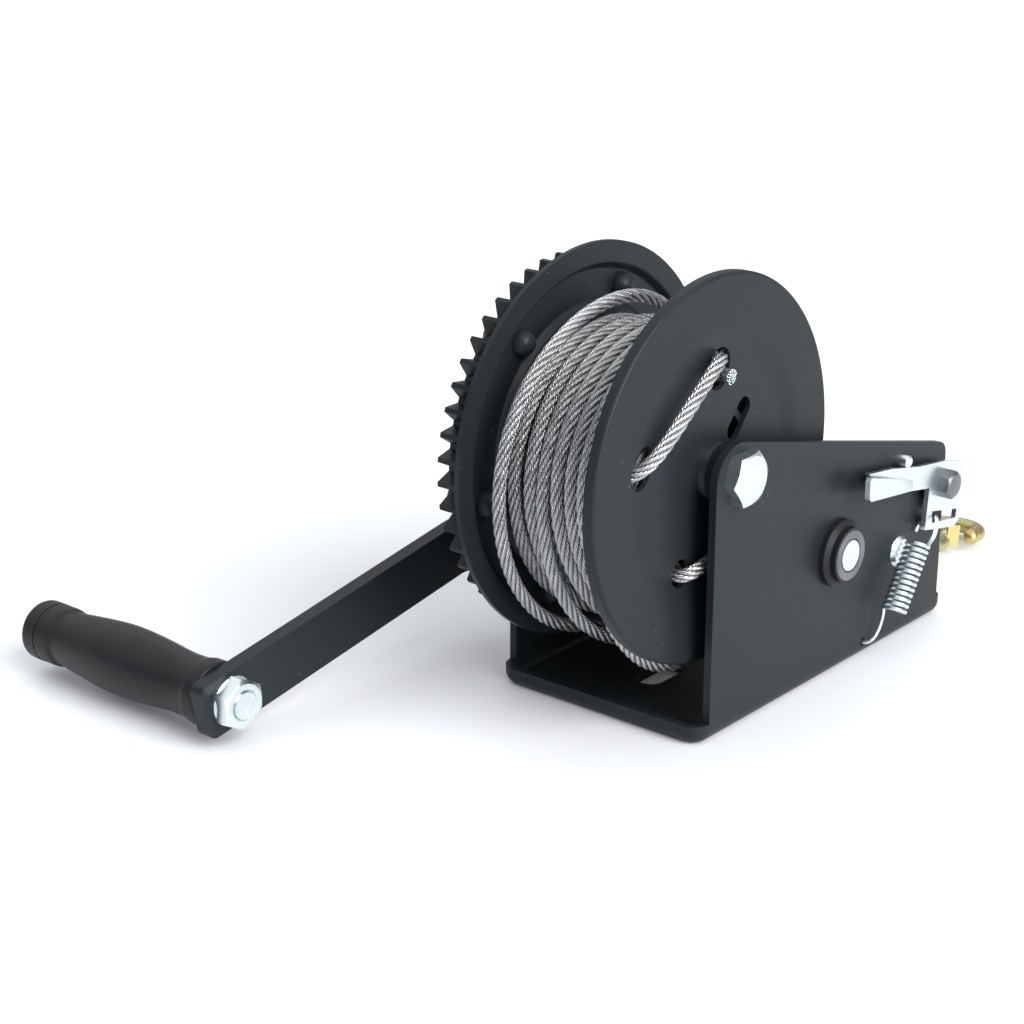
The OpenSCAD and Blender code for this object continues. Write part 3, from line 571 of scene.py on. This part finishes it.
class Graph:
    """A material's nodes, added one line at a time."""

    def __init__(self, name):
        self.material = bpy.data.materials.new(name)
        self.material.use_nodes = True
        self.tree = self.material.node_tree
        self.tree.nodes.clear()
        self.shader = self.add("ShaderNodeBsdfPrincipled")
        self.link(self.shader.outputs[0], self.add("ShaderNodeOutputMaterial").inputs[0])
        self.place = self.add("ShaderNodeTexCoord").outputs["Object"]

    def add(self, kind, **settings):
        node = self.tree.nodes.new(kind)
        for key, value in settings.items():
            setattr(node, key, value)
        return node

    def link(self, a, b):
        self.tree.links.new(a, b)

    def noise(self, scale, detail, place=None):
        node = self.add("ShaderNodeTexNoise")
        node.inputs["Scale"].default_value = scale
        node.inputs["Detail"].default_value = detail
        self.link(self.place if place is None else place, node.inputs["Vector"])
        return node.outputs["Fac"]

    def stretch(self, scale):
        """The place coordinates with each axis scaled on its own."""
        node = self.add("ShaderNodeMapping")
        node.inputs["Scale"].default_value = scale
        self.link(self.place, node.inputs["Vector"])
        return node.outputs["Vector"]

    def ramp(self, value, *stops):
        """Colours or greys at positions of a value: each stop is (position, colour)."""
        node = self.add("ShaderNodeValToRGB")
        while len(node.color_ramp.elements) < len(stops):
            node.color_ramp.elements.new(0.5)
        for element, (position, colour) in zip(node.color_ramp.elements, stops):
            element.position = position
            element.color = (colour,) * 3 + (1,) if isinstance(colour, float) else tuple(colour) + (1,)
        self.link(value, node.inputs["Fac"])
        return node.outputs["Color"]

    def math(self, kind, a, b=None):
        node = self.add("ShaderNodeMath", operation=kind)
        for socket, value in zip(node.inputs, (a, b)):
            if value is None:
                continue
            if isinstance(value, (int, float)):
                socket.default_value = value
            else:
                self.link(value, socket)
        return node.outputs[0]

    def mix(self, factor, a, b):
        node = self.add("ShaderNodeMix", data_type="RGBA")
        for socket, value in ((node.inputs[0], factor), (node.inputs[6], a), (node.inputs[7], b)):
            if isinstance(value, tuple):
                socket.default_value = value + (1,)
            elif isinstance(value, (int, float)):
                socket.default_value = value
            else:
                self.link(value, socket)
        return node.outputs[2]

    def bump(self, height, distance, strength):
        node = self.add("ShaderNodeBump")
        node.inputs["Distance"].default_value = distance
        node.inputs["Strength"].default_value = strength
        self.link(height, node.inputs["Height"])
        return node.outputs["Normal"]

    def finish(self, **sockets):
        names = {"colour": "Base Color", "roughness": "Roughness", "metallic": "Metallic", "normal": "Normal",
                 "specular": "Specular IOR Level"}
        for key, value in sockets.items():
            socket = self.shader.inputs[names[key]]
            if isinstance(value, tuple):
                socket.default_value = value + (1,)
            elif isinstance(value, (int, float)):
                socket.default_value = value
            else:
                self.link(value, socket)
        return self.material


def black_paint():
    """Satin powder coat: a fine orange peel, slow patches of sheen and a few specks of dust."""
    g = Graph("black_powder_coat")
    patches = g.noise(25, 4)
    peel = g.noise(1500, 2)
    dust = g.ramp(g.noise(620, 1), (0.0, 0.0), (0.785, 0.0), (0.81, 1.0))
    base = g.ramp(patches, (0.3, (0.0105, 0.0140, 0.0162)), (0.7, (0.0140, 0.0180, 0.0205)))
    colour = g.mix(dust, base, (0.08, 0.082, 0.085))
    rough = g.ramp(patches, (0.25, 0.36), (0.75, 0.46))
    return g.finish(colour=colour, roughness=rough, specular=0.22, normal=g.bump(peel, 0.00003, 0.5))


def zinc():
    """Bright zinc plate: cool and slightly cloudy, with fine scratches."""
    g = Graph("bright_zinc")
    cloud = g.noise(140, 5)
    scratches = g.noise(1.0, 3, place=g.stretch((900, 2600, 400)))
    colour = g.ramp(cloud, (0.3, (0.70, 0.78, 0.79)), (0.7, (0.82, 0.89, 0.90)))
    rough = g.ramp(cloud, (0.25, 0.22), (0.75, 0.36))
    return g.finish(colour=colour, metallic=1.0, roughness=rough, normal=g.bump(scratches, 0.00002, 0.35))


def dark_steel():
    """Oiled steel with a turned grain."""
    g = Graph("dark_steel")
    stain = g.noise(90, 5)
    grain = g.noise(1.0, 3, place=g.stretch((3000, 700, 700)))
    colour = g.ramp(stain, (0.3, (0.13, 0.135, 0.14)), (0.7, (0.27, 0.275, 0.28)))
    rough = g.ramp(stain, (0.25, 0.3), (0.75, 0.5))
    return g.finish(colour=colour, metallic=1.0, roughness=rough, normal=g.bump(grain, 0.00003, 0.4))


WIRES_ROUND = 22
# A wave texture of scale 1 runs through this many radians for each unit
WAVE_RADIANS = 20


def wire_rope():
    """Galvanised strands: the wires lie nearly along the rope, and painted shade darkens the grooves between
    the strands and the gaps between the wires.
    """
    g = Graph("wire_rope")
    uv = g.add("ShaderNodeUVMap", uv_map="along").outputs["UV"]
    wires = g.add("ShaderNodeTexWave", wave_type="BANDS", bands_direction="X")
    wires.inputs["Scale"].default_value = WIRES_ROUND * 2 * math.pi / WAVE_RADIANS
    wires.inputs["Distortion"].default_value = 0.35
    wires.inputs["Detail"].default_value = 1
    g.link(uv, wires.inputs["Vector"])
    parts = g.add("ShaderNodeSeparateXYZ")
    g.link(uv, parts.inputs[0])
    round_rope = g.math("SUBTRACT", parts.outputs[0], parts.outputs[1])
    strand = g.math("FRACT", g.math("MULTIPLY", round_rope, float(STRANDS)))
    painted_groove_shade = g.ramp(g.math("ABSOLUTE", g.math("SUBTRACT", strand, 0.5)), (0.36, 0.0), (0.47, 1.0))
    stain = g.noise(260, 4)
    colour = g.ramp(stain, (0.25, (0.46, 0.465, 0.47)), (0.75, (0.80, 0.81, 0.82)))
    # painted shade: the colour goes dark where the wire bumps are low, in the gaps between the wires
    colour = g.mix(g.ramp(wires.outputs["Fac"], (0.0, 0.9), (0.5, 0.0)), colour, (0.08, 0.082, 0.085))
    # painted shade: the colour is pulled to near black in the grooves between strands
    colour = g.mix(painted_groove_shade, colour, (0.05, 0.05, 0.052))
    rough = g.ramp(stain, (0.25, 0.28), (0.75, 0.45))
    return g.finish(colour=colour, metallic=1.0, roughness=rough,
                    normal=g.bump(wires.outputs["Fac"], 0.00018, 0.8))


def black_plastic():
    """Moulded plastic with a fine satin texture."""
    g = Graph("black_plastic")
    grain = g.noise(2600, 2)
    patches = g.noise(35, 3)
    colour = g.ramp(patches, (0.3, (0.0100, 0.0108, 0.0122)), (0.7, (0.0135, 0.0145, 0.0160)))
    rough = g.ramp(patches, (0.25, 0.36), (0.75, 0.46))
    return g.finish(colour=colour, roughness=rough, specular=0.22, normal=g.bump(grain, 0.00002, 0.5))


def yellow_zinc():
    """Yellow zinc plate: gold, with patches that lean green and pink."""
    g = Graph("yellow_zinc")
    drift = g.noise(120, 4)
    colour = g.ramp(drift, (0.25, (0.36, 0.38, 0.25)), (0.45, (0.50, 0.46, 0.22)), (0.6, (0.66, 0.46, 0.17)),
                    (0.8, (0.48, 0.40, 0.34)))
    rough = g.ramp(g.noise(300, 3), (0.25, 0.24), (0.75, 0.4))
    return g.finish(colour=colour, metallic=1.0, roughness=rough)


def pressed_alloy():
    """Aluminium of the ferrule, pressed and a little dull."""
    g = Graph("pressed_alloy")
    marks = g.noise(400, 4)
    colour = g.ramp(marks, (0.3, (0.56, 0.57, 0.58)), (0.7, (0.74, 0.75, 0.76)))
    return g.finish(colour=colour, metallic=1.0, roughness=g.ramp(marks, (0.25, 0.35), (0.75, 0.5)),
                    normal=g.bump(marks, 0.00006, 0.5))


MATERIALS = {
    "black_paint": black_paint(), "zinc": zinc(), "dark_steel": dark_steel(), "wire_rope": wire_rope(),
    "black_plastic": black_plastic(), "yellow_zinc": yellow_zinc(), "ferrule_alloy": pressed_alloy(),
}

# ---------------------------------------------------------------- rope pieces on their bodies

place(free_rope, "frame_body", "wire_rope", MATERIALS["wire_rope"], "free_rope")
place(rope_eye, "frame_body", "wire_rope", MATERIALS["wire_rope"], "rope_eye")
place(anchor, "drum_body", "wire_rope", MATERIALS["wire_rope"], "rope_anchor")
place(wound_loose, "drum_body", "wire_rope", MATERIALS["wire_rope"], "rope_winding")
place(wound_neat, "drum_body", "wire_rope", MATERIALS["wire_rope"])
place(fray, "drum_body", "wire_rope", MATERIALS["zinc"])

# ---------------------------------------------------------------- turned and bent pieces: the grip and hook on their bodies, the spring baked in place

place(grip, "grip_body", "black_plastic", MATERIALS["black_plastic"], "grip")
place(snap_hook, "frame_body", "yellow_zinc", MATERIALS["yellow_zinc"], "snap_hook")
pawl_spring.data.materials.append(MATERIALS["zinc"])
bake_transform(pawl_spring)
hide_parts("pawl_spring")

# ---------------------------------------------------------------- CAD nodes that keep their shape

# Width of the rounded edge, in mm
BEVELS = {
    "frame": 0.35, "axle_bolt": 0.3, "axle_washer": 0.2, "axle_nut": 0.3, "axle_spacers": 0.3,
    "bushing_near": 0.5, "bushing_far": 0.5, "lever_stop_pin": 0.3, "pawl_stop_rivet": 0.5, "drum_hub": 0.2,
    "drum_core": 0.2, "flange_near": 0.25, "flange_gear_side": 0.25, "gear_wheel": 0.35, "gear_rivets": 0.6,
    "drive_spindle": 0.4, "drive_sleeve": 0.3, "pinion_gear": 0.3, "ratchet_wheel": 0.25,
    "retaining_rings": 0.2, "crank_arm": 0.6, "crank_washer": 0.2, "crank_nut": 0.3, "grip_bolt": 0.3,
    "grip_washer": 0.2, "grip_nut": 0.3, "grip_end_cap": 0.4, "pawl_lever": 0.25, "pawl": 0.3,
    "pawl_hub": 0.2, "pawl_bolt": 0.3, "pawl_washer": 0.2, "pawl_nut": 0.3, "thimble": 0.3,
    "rope_ferrule": 0.3, "hook_latch": 0.2, "latch_pin": 0.2,
}
GRIP_BEVEL = 0.25
BEVEL_ANGLE = math.radians(32)
FLAT_ANGLE = math.radians(0.4)


def round_edges(piece, width):
    """Joins each flat face's triangles, rounds the sharp edges, and shades flats flat."""
    flat = piece.modifiers.new("join_flats", "DECIMATE")
    flat.decimate_type = "DISSOLVE"
    flat.angle_limit = FLAT_ANGLE
    bevel = piece.modifiers.new("round_edges", "BEVEL")
    bevel.width = width * MM
    bevel.segments = 3
    bevel.limit_method = "ANGLE"
    bevel.angle_limit = BEVEL_ANGLE
    bevel.harden_normals = False
    normals = piece.modifiers.new("weigh_normals", "WEIGHTED_NORMAL")
    normals.keep_sharp = False


slots = {s["node"]: s["material_slot"] for s in frame["record"]["subparts"]}
for name, width in BEVELS.items():
    node = frame["nodes"][name]
    node.data.polygons.foreach_set("use_smooth", [True] * len(node.data.polygons))
    node.data.materials.clear()
    node.data.materials.append(MATERIALS[slots[name]])
    round_edges(node, width)
round_edges(grip, GRIP_BEVEL)

# ---------------------------------------------------------------- floor and light

FLOOR_HALF = 3


def make_floor():
    corners = [(-1, -1), (1, -1), (1, 1), (-1, 1)]
    floor = add_mesh("floor", [(x * FLOOR_HALF, y * FLOOR_HALF, 0) for x, y in corners], [(0, 1, 2, 3)])
    g = Graph("pale_floor")
    g.finish(colour=(0.86, 0.87, 0.89), roughness=0.55, specular=0.3)
    floor.data.materials.append(g.material)


def make_light(name, towards_light, softness, strength):
    """A soft light from far away, so that the floor is lit evenly."""
    data = bpy.data.lights.new(name, "SUN")
    data.angle = math.radians(softness)
    data.energy = strength
    light = bpy.data.objects.new(name, data)
    bpy.context.scene.collection.objects.link(light)
    light.location = Vector(towards_light)
    light.rotation_mode = "QUATERNION"
    light.rotation_quaternion = (-Vector(towards_light)).to_track_quat("-Z", "Y")


def make_world():
    """White behind the object, and a dimmer white room around it, so that the lights shape it."""
    world = bpy.data.worlds.new("studio")
    bpy.context.scene.world = world
    world.use_nodes = True
    nodes, links = world.node_tree.nodes, world.node_tree.links
    room = nodes["Background"]
    room.inputs["Color"].default_value = (0.90, 0.94, 1.0, 1)
    room.inputs["Strength"].default_value = 0.42
    backdrop = nodes.new("ShaderNodeBackground")
    backdrop.inputs["Color"].default_value = (0.97, 0.985, 1.0, 1)
    seen = nodes.new("ShaderNodeLightPath")
    mix = nodes.new("ShaderNodeMixShader")
    links.new(seen.outputs["Is Camera Ray"], mix.inputs[0])
    links.new(room.outputs[0], mix.inputs[1])
    links.new(backdrop.outputs[0], mix.inputs[2])
    links.new(mix.outputs[0], nodes["World Output"].inputs[0])


make_floor()
make_world()
make_light("right", (1.0, -0.12, 0.55), 50, 4.2)
make_light("overhead", (-0.25, 0.1, 1.0), 110, 1.5)
bpy.context.scene.view_settings.view_transform = "Standard"
